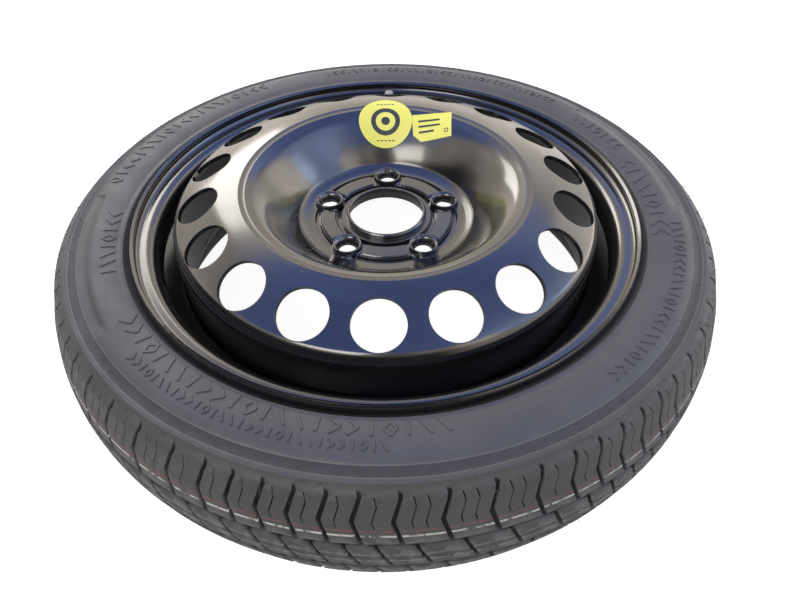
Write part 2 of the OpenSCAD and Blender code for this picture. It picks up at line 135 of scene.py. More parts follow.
class Nodes(Graph):
    """The nodes of one material."""

    def __init__(self, name):
        self.material = bpy.data.materials.new(name)
        self.material.use_nodes = True
        super().__init__(self.material.node_tree)
        self.shader = self.tree.nodes["Principled BSDF"]
        self.place = self.node("ShaderNodeTexCoord").outputs["Object"]

    def drive(self, **sockets):
        """Feeds the shader's own sockets."""
        for name, value in sockets.items():
            self.feed([(self.shader.inputs[name.replace("_", " ")], value)])

    def noise(self, scale, detail=3.0, rough=0.5, stretch=None):
        place = self.place
        if stretch:
            place = self.node("ShaderNodeMapping", place, Scale=stretch).outputs["Vector"]
        return self.node("ShaderNodeTexNoise", place, Scale=scale, Detail=detail, Roughness=rough).outputs["Fac"]

    def polar(self):
        """Radius and height in metres, and the angle as a share of a turn."""
        x, y, z = self.node("ShaderNodeSeparateXYZ", self.place).outputs
        radius = self.math("SQRT", self.math("ADD", self.times(x, x), self.times(y, y)))
        turn = self.math("DIVIDE", self.math("ARCTAN2", y, x), math.tau)
        return radius, z, turn

    def band(self, value, centre, half, soft):
        """1 within half of centre, falling to 0 over soft."""
        away = self.math("ABSOLUTE", self.math("SUBTRACT", value, centre))
        return self.between(away, half + soft, half)

    def bump(self, height, distance, strength=1.0, normal=None):
        node = self.node("ShaderNodeBump", Distance=distance, Strength=strength)
        self.link(height, node.inputs["Height"])
        if normal is not None:
            self.link(normal, node.inputs["Normal"])
        return node.outputs["Normal"]

    def soft_edges(self, radius):
        node = self.node("ShaderNodeBevel", Radius=radius)
        node.samples = 4
        return node.outputs["Normal"]


# Where the disc's paint is worn: a radius and its half width, and a share of a turn
WEAR_R, WEAR_HALF, WEAR_TURN = 131, 2, -0.335


def paint(name, edge, wear):
    """Black gloss paint with fine orange peel and dust, and chips and scratches down to grey."""
    n = Nodes(name)
    radius, height, turn = n.polar()
    dust = n.between(n.noise(420, 4, 0.7), 0.56, 0.78)
    clouds = n.between(n.noise(9, 3), 0.35, 0.75)
    base = n.mix(clouds, (0.007, 0.007, 0.008), (0.013, 0.0125, 0.012))
    base = n.mix(n.times(dust, 0.10), base, (0.16, 0.15, 0.14))
    if wear:
        zone = n.times(n.band(radius, mm(WEAR_R), mm(WEAR_HALF), mm(5)), n.band(turn, WEAR_TURN, 0.035, 0.02))
        chips = n.between(n.noise(420, 4, 0.7, stretch=(1, 1.6, 1)), 0.665, 0.68)
        base = n.mix(n.times(chips, zone), base, (0.30, 0.29, 0.28))
        scuffs = n.between(n.noise(150, 6, 0.8, stretch=(0.12, 2.4, 1)), 0.69, 0.72)
        base = n.mix(n.times(scuffs, n.times(zone, 0.35)), base, (0.2, 0.2, 0.2))
    peel = n.bump(n.noise(650, 2), 0.00002, 0.12, n.soft_edges(edge))
    n.drive(Base_Color=base, Roughness=n.between(n.noise(26, 4, 0.6), 0.3, 0.7, 0.17, 0.26), Normal=peel,
            Specular_IOR_Level=0.7, Coat_Weight=0.8, Coat_Roughness=0.12)
    return n.material


# The sidewall's knurled band: its middle and half width, and the radii of the painted highlights along its two
# edges
BAND_R, BAND_HALF, BAND_EDGE_HIGHLIGHTS = 263.6, 3.3, (259.9, 267.4)
# Rows of the mould's vents on the shoulders: distance from the middle plane, count, first place
VENT_ROWS = ((50, 151, 0.0), (46.5, 149, 0.4))
VENTS_R = 279
# Coloured lines on the tread: distance from the middle plane, half width, colour, cover
TREAD_LINES = (
    (24.5, 0.75, (0.62, 0.62, 0.60), 0.9),
    (29.0, 0.5, (0.32, 0.07, 0.06), 0.5),
    (3.6, 0.6, (0.30, 0.38, 0.30), 0.4),
    (-5.6, 0.6, (0.42, 0.42, 0.40), 0.45),
)


def painted_groove_shade(n, radius, away):
    """Painted shade in the grooves: 1 below the tread's surface, which drops towards the shoulders, and below the
    shoulders.
    """
    share = n.math("DIVIDE", away, mm(TREAD_HALF))
    surface = n.math("SUBTRACT", mm(TYRE_R), n.times(share, share, mm(TREAD_DROP)))
    depth = n.math("SUBTRACT", surface, radius)
    low = n.times(n.between(depth, mm(0.9), mm(2.2)), n.between(away, mm(TREAD_HALF + 0.5), mm(TREAD_HALF - 0.5)))
    outward = n.math("DIVIDE", n.math("SUBTRACT", radius, mm(SIDE_R)), mm(EDGE_R - SIDE_R))
    sideways = n.math("DIVIDE", n.math("SUBTRACT", away, mm(TREAD_HALF)), mm(SIDE_HALF - TREAD_HALF))
    oval = n.math("ADD", n.times(outward, outward), n.times(sideways, sideways))
    down = n.times(n.between(oval, 0.93, 0.86), n.between(away, mm(TREAD_HALF - 0.5), mm(TREAD_HALF + 0.5)),
                   n.between(radius, mm(262), mm(264)))
    return n.math("MAXIMUM", low, down)


def painted_vent_dots(n, base, turn, away, on_tread):
    """The mould's vents on the shoulder blocks, as small dark dots in a pale ring: painted shade in each vent and a
    painted highlight round it, standing in for their tiny relief.
    """
    for row, count, start in VENT_ROWS:
        along = n.math("FRACT", n.math("ADD", n.times(turn, count), start))
        along = n.times(n.math("SUBTRACT", along, 0.5), mm(math.tau * VENTS_R / count))
        across = n.times(n.math("SUBTRACT", away, mm(row)), 1.6)
        far = n.math("SQRT", n.math("ADD", n.times(along, along), n.times(across, across)))
        shown = n.times(on_tread, n.between(n.noise(45, 1), 0.42, 0.5))
        edge = n.band(far, mm(1.35), mm(0.15), mm(0.3))
        # Painted highlight: a pale ring round each vent
        base = n.mix(n.times(edge, n.times(shown, 0.25)), base, (0.13, 0.125, 0.12))
        # Painted shade: a dark dot in each vent
        base = n.mix(n.times(n.between(far, mm(1.0), mm(0.6)), n.times(shown, 0.85)), base, (0.015, 0.015, 0.016))
    return base


def tyre_rubber():
    """Black rubber, dulled where it was handled, with the mould's fine grooves and paint lines, painted shade in
    its grooves, knurled band and vents, and painted highlights along the band's edges and round the vents.
    """
    n = Nodes("tyre_rubber")
    radius, height, turn = n.polar()
    from_mid = n.math("SUBTRACT", height, mm(MID_Z))
    away = n.math("ABSOLUTE", from_mid)
    bloom = n.between(n.noise(16, 5, 0.62), 0.35, 0.75)
    base = n.mix(bloom, (0.062, 0.062, 0.069), (0.088, 0.088, 0.097))
    specks = n.between(n.noise(900, 2, 0.5), 0.66, 0.74)
    base = n.mix(n.times(specks, 0.3), base, (0.15, 0.15, 0.155))
    smears = n.between(n.noise(40, 6, 0.7, stretch=(1, 1, 0.3)), 0.6, 0.8)
    base = n.mix(n.times(smears, 0.25), base, (0.12, 0.117, 0.112))
    on_tread = n.between(radius, mm(TYRE_R - 20.6), mm(TYRE_R - 19.4))
    base = n.mix(n.times(on_tread, 0.8), base, n.mix(bloom, (0.058, 0.055, 0.054), (0.078, 0.074, 0.071)))
    in_band = n.band(radius, mm(BAND_R), mm(BAND_HALF), mm(0.25))
    # Painted shade: the recessed, knurled band is darkened
    base = n.mix(n.times(in_band, 0.85), base, (0.030, 0.029, 0.031))
    # Painted highlights: thin lighter lines along the band's two edges
    for edge in BAND_EDGE_HIGHLIGHTS:
        base = n.mix(n.times(n.band(radius, mm(edge), mm(0.2), mm(0.35)), 0.5), base, (0.17, 0.17, 0.18))
    base = painted_vent_dots(n, base, turn, away, on_tread)
    block_top = n.times(n.between(away, mm(40), mm(36)), n.between(radius, mm(TYRE_R - 8), mm(TYRE_R - 7)))
    broken = n.between(n.noise(160, 5, 0.7), 0.42, 0.5)
    for centre, half, colour, cover in TREAD_LINES:
        line = n.times(n.band(from_mid, mm(centre), mm(half), mm(0.25)), block_top)
        base = n.mix(n.times(line, broken, cover), base, colour)
    # Painted shade: the tread's grooves and the recesses below the shoulders are darkened nearly to black
    base = n.mix(n.times(painted_groove_shade(n, radius, away), 0.9), base, (0.006, 0.006, 0.008))

    # The band's weave, the sidewall's fine rings and the rubber's grain
    around, outwards = n.times(turn, math.tau * 1100), n.times(radius, 2400)
    weave, crossed = (n.math("SINE", n.math(way, around, outwards)) for way in ("ADD", "SUBTRACT"))
    normal = n.bump(n.times(n.math("ADD", weave, crossed), in_band), 0.00012, 0.6, n.soft_edges(mm(0.2)))
    rings = n.math("SINE", n.times(radius, math.tau * 900))
    normal = n.bump(n.times(rings, n.between(away, mm(45), mm(52))), 0.00002, 0.25, normal)
    normal = n.bump(n.noise(520, 4, 0.7), 0.00018, 0.35, normal)
    n.drive(Base_Color=base, Roughness=n.between(n.noise(60, 4, 0.6), 0.3, 0.7, 0.48, 0.62), Normal=normal,
            Specular_IOR_Level=0.55, Sheen_Weight=0.12, Sheen_Roughness=0.5)
    return n.material


def plain_rubber(name, colour):
    n = Nodes(name)
    n.drive(Base_Color=n.mix(n.noise(300, 4), colour, tuple(c * 1.9 for c in colour)),
            Roughness=n.between(n.noise(700, 3), 0.3, 0.7, 0.5, 0.68),
            Normal=n.bump(n.noise(1500, 3), 0.00008, 0.4, n.soft_edges(mm(0.25))))
    return n.material


def label_film():
    """Fluorescent yellow film, slightly uneven, with a soft gloss."""
    n = Nodes("label_film")
    tint = n.mix(n.between(n.noise(35, 4), 0.3, 0.7), (0.93, 0.93, 0.16), (0.98, 0.97, 0.25))
    grain = n.between(n.noise(1800, 2), 0.4, 0.6)
    n.drive(Base_Color=n.mix(n.times(grain, 0.06), tint, (0.70, 0.70, 0.12)),
            Roughness=n.between(n.noise(90, 3), 0.3, 0.7, 0.34, 0.46),
            Normal=n.bump(n.noise(140, 2), 0.0001, 0.3))
    return n.material


def print_ink():
    n = Nodes("print_ink")
    n.drive(Base_Color=n.mix(n.noise(900, 4), (0.035, 0.037, 0.038), (0.06, 0.062, 0.064)),
            Roughness=n.between(n.noise(200, 3), 0.3, 0.7, 0.4, 0.55))
    return n.material


def turned_brass():
    n = Nodes("turned_brass")
    rings = n.noise(2500, 3, 0.6, stretch=(0.1, 0.1, 3))
    n.drive(Base_Color=n.mix(rings, (0.55, 0.39, 0.16), (0.74, 0.56, 0.27)),
            Roughness=n.between(rings, 0.3, 0.7, 0.26, 0.4), Metallic=1.0,
            Normal=n.bump(rings, 0.00005, 0.3, n.soft_edges(mm(0.1))))
    return n.material


def cap_plastic():
    n = Nodes("cap_plastic")
    n.drive(Base_Color=n.mix(n.noise(500, 4), (0.30, 0.30, 0.31), (0.40, 0.40, 0.41)),
            Roughness=n.between(n.noise(400, 3), 0.3, 0.7, 0.32, 0.45),
            Normal=n.bump(n.noise(1600, 2), 0.00003, 0.3, n.soft_edges(mm(0.3))))
    return n.material


DISC_PAINT = paint("disc_paint", mm(1.1), wear=True)
RIM_PAINT = paint("rim_paint", mm(0.8), wear=False)
WELD_PAINT = paint("weld_paint", mm(1.2), wear=False)
TYRE = tyre_rubber()
VALVE_RUBBER = plain_rubber("valve_rubber", (0.016, 0.016, 0.017))
LABEL = label_film()
INK = print_ink()
BRASS = turned_brass()
CAP = cap_plastic()

# Sections of pressed sheet


def cross(a, b):
    return a[0] * b[1] - a[1] * b[0]


class Section:
    """Lines and arcs of a section, from [radius, z] corners that are each rounded by a radius."""

    def __init__(self, corners):
        self.lines, self.arcs = [], []
        last = np.array(corners[0][0], float)
        for (before, _), (at, bend), (after, _) in zip(corners, corners[1:], corners[2:]):
            at = np.array(at, float)
            u, v = (w / np.linalg.norm(w) for w in (np.subtract(before, at), np.subtract(after, at)))
            half = math.acos(np.dot(u, v)) / 2
            start, end = (at + w * bend / math.tan(half) for w in (u, v))
            centre = at + (u + v) / np.linalg.norm(u + v) * bend / math.sin(half)
            self.lines.append((last, start))
            self.arcs.append((centre, bend, start - centre, end - centre))
            last = end
        self.lines.append((last, np.array(corners[-1][0], float)))

    def normals(self, points):
        """Unit normals of the section beside an array of [radius, z] points, zero beyond its ends."""
        best, found = np.full(len(points), np.inf), np.zeros((len(points), 2))

        def keep(inside, gap, normal):
            closer = inside & (gap < best)
            best[closer] = gap[closer]
            found[closer] = normal[closer]

        for a, b in self.lines:
            along = (b - a) / np.linalg.norm(b - a)
            side = np.array([-along[1], along[0]])
            t = (points - a) @ along
            inside = (t > -0.01) & (t < np.linalg.norm(b - a) + 0.01)
            keep(inside, abs((points - a) @ side), np.tile(side, (len(points), 1)))
        for centre, bend, start, end in self.arcs:
            out = points - centre
            size = np.linalg.norm(out, axis=1)
            turn = cross(start, end)
            inside = (cross(start, out.T) * turn >= 0) & (cross(out.T, end) * turn >= 0)
            keep(inside & (out @ (start + end) > 0), abs(size - bend), out / size[:, None])
        return found

    def height(self, radius):
        """z of the section at a radius, for a section that runs outwards."""
        for a, b in self.lines:
            if a[0] - 1e-6 <= radius <= b[0] + 1e-6 and b[0] > a[0]:
                return a[1] + (b[1] - a[1]) * (radius - a[0]) / (b[0] - a[0])
        for centre, bend, start, end in self.arcs:
            if centre[0] + start[0] <= radius <= centre[0] + end[0]:
                side = 1 if start[1] + end[1] > 0 else -1
                return centre[1] + side * math.sqrt(bend**2 - (radius - centre[0]) ** 2)
        return self.lines[-1][1][1]


# The disc's outer face: hub shelf, foot of the bowl, crown, vent ring, skirt
SKIRT_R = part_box("disc")[1].x * 1000
FOOT = (76.5, 7)
CROWN = (123.3, 57.2)
VENT_RING = (160.5, 38.2)
VENT_SLOPE = math.tan(math.radians(27))
BEND_Z = VENT_RING[1] - (SKIRT_R - VENT_RING[0]) * VENT_SLOPE
DISC = Section([((69.5, 7), 0), (FOOT, 12), (CROWN, 44), ((SKIRT_R, BEND_Z), 14), ((SKIRT_R, -45), 0)])
# The lean of the outer face as pressed, [radius, degrees towards the axis], which shows in what it mirrors
LEANS = [
    (68.3, 0), (72, 18), (75, 34), (77.5, 50), (80, 57), (82, 56), (85, 53), (88, 50.5), (92, 47.5), (97, 46.5),
    (103, 45), (110, 34), (116, 15), (119, 1), (126, -7), (134, -10.5), (142, -13), (150, -17.5), (160, -18),
    (170, -18.5), (176, -21.5), (178.5, -29),
]
LEANS_FROM, LEANS_TO = LEANS[0][0], LEANS[-1][0]


def pressed(points):
    """Unit normals of the disc's outer face, and of its back, beside [radius, z] points."""
    found = DISC.normals(points)
    lean = np.radians(np.interp(points[:, 0], *zip(*LEANS)))
    broad = (abs(found[:, 1]) > 0.6) & (points[:, 0] > LEANS_FROM) & (points[:, 0] < LEANS_TO)
    leaning = np.stack([-np.sin(lean), np.cos(lean)], 1) * np.sign(found[:, 1])[:, None]
    found[broad] = leaning[broad]
    return found


# Holes through the hub shelf, and the height at which their lower edges show
BORE_R, BORE_LOW = 32.55, 9.0
BOLT_R, BOLTS, BOLT_AT, HOLE_R, HOLE_LOW = 55, 5, math.radians(88), 7.65, 3.4
# Bend at the rim's heel on the tyre's side: its centre, as [radius, from the middle plane], and its radius
HEEL_R, HEEL_HALF, HEEL_BEND = 209.3, 44.3, 9.3
# How far the flange's face falls towards the heel, as a share
HEEL_FALL = 0.12
# Radii between which the long edges of the bowl's outer face start and end, and their new points
LONG_FROM, LONG_TO, LONG_CUTS = (78, 84), (97, 104), 11
OUTER_FACE_Z = 8


def finer_bowl(work):
    """More rings of points between the bowl's foot and its crown."""
    long_edges = []
    for edge in work.edges:
        radii = [math.hypot(v.co.x, v.co.y) * 1000 for v in edge.verts]
        heights = [v.co.z * 1000 for v in edge.verts]
        starts, ends = LONG_FROM[0] < min(radii) < LONG_FROM[1], LONG_TO[0] < max(radii) < LONG_TO[1]
        if starts and ends and min(heights) > OUTER_FACE_Z:
            long_edges.append(edge)
    bmesh.ops.subdivide_edges(work, edges=long_edges, cuts=LONG_CUTS)
    bmesh.ops.triangulate(work, faces=[f for f in work.faces if len(f.verts) > 4])


def thin_edges(work):
    """The bore and the bolt holes show only the upper part of their walls."""
    for vert in work.verts:
        if math.hypot(vert.co.x, vert.co.y) * 1000 < BORE_R + 0.2 and vert.co.z < mm(3):
            vert.co.z = mm(BORE_LOW)
        turn = math.atan2(vert.co.y, vert.co.x)
        near = BOLT_AT + round((turn - BOLT_AT) / (math.tau / BOLTS)) * math.tau / BOLTS
        hole = Vector((BOLT_R * math.cos(near), BOLT_R * math.sin(near)))
        if (vert.co.xy * 1000 - hole).length < HOLE_R + 0.2 and vert.co.z < mm(2.5):
            vert.co.z = mm(HOLE_LOW)


def square_heel(work):
    """The rim's flange face stays flat to a small bend, as on the photographed rim."""
    for vert in work.verts:
        radius = math.hypot(vert.co.x, vert.co.y) * 1000
        height = vert.co.z * 1000 - MID_Z
        from_centre = math.hypot(radius - HEEL_R, abs(height) - HEEL_HALF)
        if radius < HEEL_R + 0.1 and abs(height) > HEEL_HALF and abs(from_centre - HEEL_BEND) < 0.2:
            raised = HEEL_HALF + HEEL_BEND - (HEEL_R - radius) * HEEL_FALL
            vert.co.z = mm(MID_Z + math.copysign(max(raised, abs(height)), height))


def values(items, what, size, kind=np.float32):
    """A property of all of a mesh's items, as an array with a row for each."""
    flat = np.zeros(len(items) * size, kind)
    items.foreach_get(what, flat)
    return flat.reshape(-1, size).astype(float) if size > 1 else flat


def shade_round(mesh, section):
    """Turns the corners' normals as on a surface of revolution, by a section or by their own lean."""
    corner = values(mesh.corner_normals, "vector", 3)
    place = values(mesh.vertices, "co", 3)[values(mesh.loops, "vertex_index", 1, np.int32)]
    flat = np.repeat(values(mesh.polygons, "normal", 3), values(mesh.polygons, "loop_total", 1, np.int32), axis=0)
    radius = np.maximum(np.hypot(place[:, 0], place[:, 1]), 1e-6)
    out = place[:, :2] / radius[:, None]
    around = flat[:, 1] * out[:, 0] - flat[:, 0] * out[:, 1]
    slope = np.stack([(flat[:, :2] * out).sum(1), flat[:, 2]], 1)
    size = np.linalg.norm(slope, axis=1)
    turned = (abs(around) < 0.16) & (size > 0.5)
    slope /= np.maximum(size, 1e-6)[:, None]
    if section is None:
        target = np.stack([(corner[:, :2] * out).sum(1), corner[:, 2]], 1)
        target /= np.maximum(np.linalg.norm(target, axis=1), 1e-6)[:, None]
        turned &= (target * slope).sum(1) > 0.8
    else:
        target = section(np.stack([radius, place[:, 2]], 1) * 1000)
        facing = (target * slope).sum(1)
        target = np.where(abs(facing)[:, None] > 0.955, target * np.sign(facing)[:, None], slope)
    exact = np.concatenate([target[:, :1] * out, target[:, 1:]], 1)
    corner[turned] = exact[turned]
    mesh.normals_split_custom_set(corner.tolist())


def smooth_copy(node, name, material, section=None, sharp=32, changes=()):
    """A copy of a CAD node's mesh, shaded as the round surfaces it stands for."""
    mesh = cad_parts[node].data.copy()
    work = bmesh.new()
    work.from_mesh(mesh)
    bmesh.ops.remove_doubles(work, verts=work.verts, dist=2e-6)
    bmesh.ops.dissolve_degenerate(work, edges=work.edges, dist=1e-7)
    for change in changes:
        change(work)
    work.to_mesh(mesh)
    work.free()
    mesh.materials.clear()
    mesh.materials.append(material)
    mesh.shade_smooth()
    mesh.set_sharp_from_angle(angle=math.radians(sharp))
    mesh.update()
    shade_round(mesh, section)
    piece = bpy.data.objects.new(name, mesh)
    bpy.context.scene.collection.objects.link(piece)
    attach(piece, "wheel")
    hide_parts(node)
    return piece


def piece_from(name, verts, faces, material, body, smooth=True):
    mesh = bpy.data.meshes.new(name)
    mesh.from_pydata([tuple(v) for v in verts], [], faces)
    mesh.materials.append(material)
    if smooth:
        mesh.shade_smooth()
    mesh.update()
    piece = bpy.data.objects.new(name, mesh)
    bpy.context.scene.collection.objects.link(piece)
    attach(piece, body)
    return piece


smooth_copy("disc", "disc_sheet", DISC_PAINT, pressed, changes=(finer_bowl, thin_edges))
smooth_copy("rim", "rim_sheet", RIM_PAINT, changes=(square_heel,))
smooth_copy("tyre", "tyre_body", TYRE, sharp=27)
for node, material in (
    ("disc_welds", WELD_PAINT), ("round_label", LABEL), ("flat_label", LABEL),
    ("valve_body", VALVE_RUBBER), ("valve_stem", BRASS), ("core_barrel", BRASS),
    ("core_seal", VALVE_RUBBER), ("core_pin", BRASS), ("core_pin_seal", VALVE_RUBBER),
    ("core_spring", BRASS), ("valve_cap", CAP), ("cap_seal", VALVE_RUBBER),
):
    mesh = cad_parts[node].data
    if not mesh.materials:
        mesh.materials.append(material)
    for i in range(len(mesh.materials)):
        mesh.materials[i] = material

# Label prints: a ring, a dot and dashes, and short bars with a square, laid this far over the wall
LABEL_TOP = 0.27
# Where the labels' middles lie on the bowl's wall, and how it leans there
WALL_R, WALL_Z, WALL_TILT = 110.5, 34, math.radians(32)
# Places of the two labels round the bowl, and how the second is turned on the wall
ROUND_ANGLE, FLAT_ANGLE, FLAT_TURN = math.radians(89.4), math.radians(64.5), math.radians(21.5)


def on_wall(angle, turn, u, v):
    """The point over a label at u to the right and v up, in mm, in the label's own plane."""
    out = np.array([math.cos(angle), math.sin(angle), 0])
    right = np.array([out[1], -out[0], 0])
    up = out * math.cos(WALL_TILT) + np.array([0, 0, math.sin(WALL_TILT)])
    away = np.cross(right, up)
    c, s = math.cos(turn), math.sin(turn)
    flat = out * WALL_R + np.array([0, 0, WALL_Z]) + right * (u * c - v * s) + up * (u * s + v * c)
    low, high = -25.0, 25.0
    for _ in range(40):
        middle = (low + high) / 2
        point = flat + away * middle
        if point[2] > DISC.height(math.hypot(point[0], point[1])):
            high = middle
        else:
            low = middle
    radius = math.hypot(point[0], point[1])
    lean = DISC.normals(np.array([[radius, point[2]]]))[0]
    lean *= np.sign(lean[1])
    lift = np.array([lean[0] * point[0] / radius, lean[0] * point[1] / radius, lean[1]])
    return mm(point + lift * LABEL_TOP)


def label_print(name, angle, turn, patches):
    """Each patch is a grid of [u, v] rows."""
    verts, faces = [], []
    for rows in patches:
        start, width = len(verts), len(rows[0])
        verts += [on_wall(angle, turn, u, v) for row in rows for u, v in row]
        for i in range(len(rows) - 1):
            for j in range(width - 1):
                at = start + i * width + j
                faces.append((at, at + 1, at + width + 1, at + width))
    return piece_from(name, verts, faces, INK, "wheel")


def bar(left, low, width, height):
    across = np.linspace(left, left + width, max(2, round(width / 1.5)))
    return [[(u, v) for u in across] for v in np.linspace(low, low + height, max(2, round(height / 1.5)))]


def ring(inner, outer):
    turns = np.linspace(0, 2 * math.pi, 65)
    return [[(r * math.cos(a), r * math.sin(a)) for a in turns] for r in np.linspace(inner, outer, 3)]


dashes = [bar(u, v, 2.4, 1.1) for v in (18.6, -19.6) for u in (-8.5, -4.9, -1.2, 2.5, 6.1)]
label_print("round_label_print", ROUND_ANGLE, 0, [ring(9.6, 14.2), ring(0.01, 4.2)] + dashes)
square = [bar(11.5, -8.5, 4, 0.8), bar(11.5, -5.3, 4, 0.8), bar(11.5, -8.5, 0.8, 4), bar(14.7, -8.5, 0.8, 4)]
label_print("flat_label_print", FLAT_ANGLE, FLAT_TURN,
            [bar(-13.5, 5, 21, 2), bar(-13.5, -0.5, 21, 2), bar(-13.5, -6, 15, 2)] + square)

# Tyre sidewall. The raised marks and the whiskers follow its section


def side_height(radius):
    """The sidewall's distance from the tyre's middle plane."""
    end, half = (EDGE_R, TREAD_HALF) if radius > SIDE_R else (BEAD_R, BEAD_HALF)
    return half + (SIDE_HALF - half) * math.sqrt(max(0, 1 - ((radius - SIDE_R) / (end - SIDE_R)) ** 2))


def side_point(radius, degrees, lift, lower=False):
    a = math.radians(degrees)
    z = side_height(radius) + lift
    if lower:
        return mm(radius * math.cos(a)), mm(-radius * math.sin(a)), mm(MID_Z - z)
    return mm(radius * math.cos(a)), mm(radius * math.sin(a)), mm(MID_Z + z)


# How far a mark stands over the sidewall, and reaches into it
MARK_LIFT, MARK_SINK = 0.7, 0.5


def stroke(verts, faces, start, end, width, lower):
    """A raised line between two [along, radius, degrees at its middle] places on the sidewall."""
    (u0, r0, a0), (u1, r1, a1) = start, end
    length = math.hypot(u1 - u0, r1 - r0)
    side = (-(r1 - r0) / length * width / 2, (u1 - u0) / length * width / 2)
    steps = max(1, round(length / 2.5))
    first = len(verts)
    for i in range(steps + 1):
        t = i / steps
        u, r = u0 + (u1 - u0) * t, r0 + (r1 - r0) * t
        for k, lift in ((1.15, -MARK_SINK), (0.85, MARK_LIFT), (-0.85, MARK_LIFT), (-1.15, -MARK_SINK)):
            radius = r + side[1] * k
            verts.append(side_point(radius, a0 - math.degrees((u + side[0] * k) / r0), lift, lower))
    for i in range(steps):
        for k in range(3):
            at = first + i * 4 + k
            faces.append((at, at + 1, at + 5, at + 4) if lower else (at + 4, at + 5, at + 1, at))
    last = first + steps * 4
    ends = (first, first + 1, first + 2, first + 3), (last + 3, last + 2, last + 1, last)
    faces.extend(e[::-1] if lower else e for e in ends)


# Each mark is a set of lines in a box one high and 0.7 wide
MARKS = {
    "bar": [((0.35, 0), (0.35, 1))],
    "chevron": [((0.05, 0), (0.6, 0.5)), ((0.6, 0.5), (0.05, 1))],
    "diamond": [((0.35, 0), (0.7, 0.5)), ((0.7, 0.5), (0.35, 1)), ((0.35, 1), (0, 0.5)), ((0, 0.5), (0.35, 0))],
    "slant": [((0.05, 0), (0.6, 1))],
}
MARK_ROW = ["chevron", "chevron", "bar", "diamond", "bar", "slant", "slant", "bar"]
# Inner radius, outer radius, first angle, last angle
MARK_ZONES = [
    (228, 240, -146, -80), (244, 251, -137, -89), (244.5, 253, -53, -6), (229, 242, -13, 15),
    (236.5, 247, 19, 38), (244, 252, 43, 107), (245.5, 257, 121, 174), (230, 241, -179, -158),
]
# The lower side's marks keep off its widest place, which rests on the floor
LOWER_ZONES = [
    (225, 236, -146, -80), (228.5, 236.5, -53, -16), (225, 236.5, -13, 15), (227, 236.5, 19, 38),
    (228.5, 236.5, 43, 107), (226, 236.5, 121, 174), (226, 236.5, -179, -158),
]
verts, faces = [], []
for lower, zones in ((False, MARK_ZONES), (True, LOWER_ZONES)):
    for inner, outer, first, last in zones:
        tall = outer - inner
        pitch = math.degrees(tall * 0.95 / inner)
        for i in range(int((last - first) / pitch)):
            for (ua, va), (ub, vb) in MARKS[MARK_ROW[i % len(MARK_ROW)]]:
                at = first + pitch * (i + 0.5)
                stroke(verts, faces, (-(ua - 0.35) * tall, inner + va * tall, at),
                       (-(ub - 0.35) * tall, inner + vb * tall, at), max(1.3, tall * 0.17), lower)
piece_from("sidewall_marks", verts, faces, TYRE, "wheel", smooth=False)

# Whiskers left by the mould's vents. Those below bend where they meet the floor
WHISKERS, WHISKER_R = 150, 0.34
WHISKER_ROWS = (263.5, 272.5, 276.5, 278.5)
# Degrees from one to the next, which spread them evenly
WHISKER_STEP = 137.508
verts, faces = [], []
for i in range(WHISKERS):
    lower = i % 3 == 0
    radius = random.choice(WHISKER_ROWS) + random.uniform(-0.4, 0.4)
    base = Vector(side_point(radius, i * WHISKER_STEP % 360, -0.4, lower))
    out = Vector((base.x, base.y, 0)).normalized()
    up = Vector((0, 0, -1 if lower else 1))
    way = (out * 0.75 + up * 0.7 + Vector([random.uniform(-0.5, 0.5) for _ in range(3)])).normalized()
    bend = Vector([random.uniform(-0.35, 0.35) for _ in range(3)])
    length = random.uniform(3.0, 6.5)
    across = way.orthogonal().normalized()
    start = len(verts)
    for k in range(5):
        t = k / 4
        middle = base + (way * t + bend * t * t) * mm(length)
        middle.z = max(middle.z, FLOOR_Z + mm(0.5))
        for side in range(5):
            turn = Matrix.Rotation(side * math.tau / 5, 3, way)
            verts.append(middle + turn @ across * mm(WHISKER_R * (1 - 0.6 * t)))
    for k in range(4):
        for side in range(5):
            a, b = start + k * 5 + side, start + k * 5 + (side + 1) % 5
            faces.append((a, b, b + 5, a + 5))
    faces.append(tuple(start + 20 + side for side in range(5)))
piece_from("mould_whiskers", verts, faces, TYRE, "wheel")

# Camera, at the photograph's angle
camera_data = bpy.data.cameras.new("camera")
camera_data.lens = 29.34
camera_data.sensor_width = 36
camera_data.clip_end = 50
camera = bpy.data.objects.new("camera", camera_data)
bpy.context.scene.collection.objects.link(camera)
CAMERA_AT = Vector((0, mm(-464.33), mm(374.45)))
CAMERA_AIM = Vector((mm(9.37), mm(-100.04), 0))
CAMERA_ROLL = math.radians(-0.188)
look = (CAMERA_AIM - CAMERA_AT).to_track_quat("-Z", "Y").to_matrix()
camera.matrix_world = Matrix.Translation(CAMERA_AT) @ (look @ Matrix.Rotation(CAMERA_ROLL, 3, "Z")).to_4x4()
bpy.context.scene.camera = camera

# Floor: white to the camera, and it keeps the wheel's shadow
floor = bpy.data.objects.new("floor", bpy.data.meshes.new("floor"))
floor.data.from_pydata([(-9, -9, FLOOR_Z), (9, -9, FLOOR_Z), (9, 9, FLOOR_Z), (-9, 9, FLOOR_Z)], [], [(0, 1, 2, 3)])
bpy.context.scene.collection.objects.link(floor)
ground = Nodes("floor_white")
ground.drive(Base_Color=(0.42, 0.42, 0.42), Roughness=0.9, Specular_IOR_Level=0.1)
rays = ground.node("ShaderNodeLightPath").outputs
seen = ground.math("MAXIMUM", rays["Is Camera Ray"], ground.times(rays["Is Glossy Ray"], 0.15))
glow = ground.node("ShaderNodeEmission")
ground.link(ground.times(seen, 0.93), glow.inputs["Strength"])
both = ground.node("ShaderNodeAddShader")
ground.link(ground.shader.outputs[0], both.inputs[0])
ground.link(glow.outputs[0], both.inputs[1])
ground.link(both.outputs[0], ground.tree.nodes["Material Output"].inputs["Surface"])
floor.data.materials.append(ground.material)

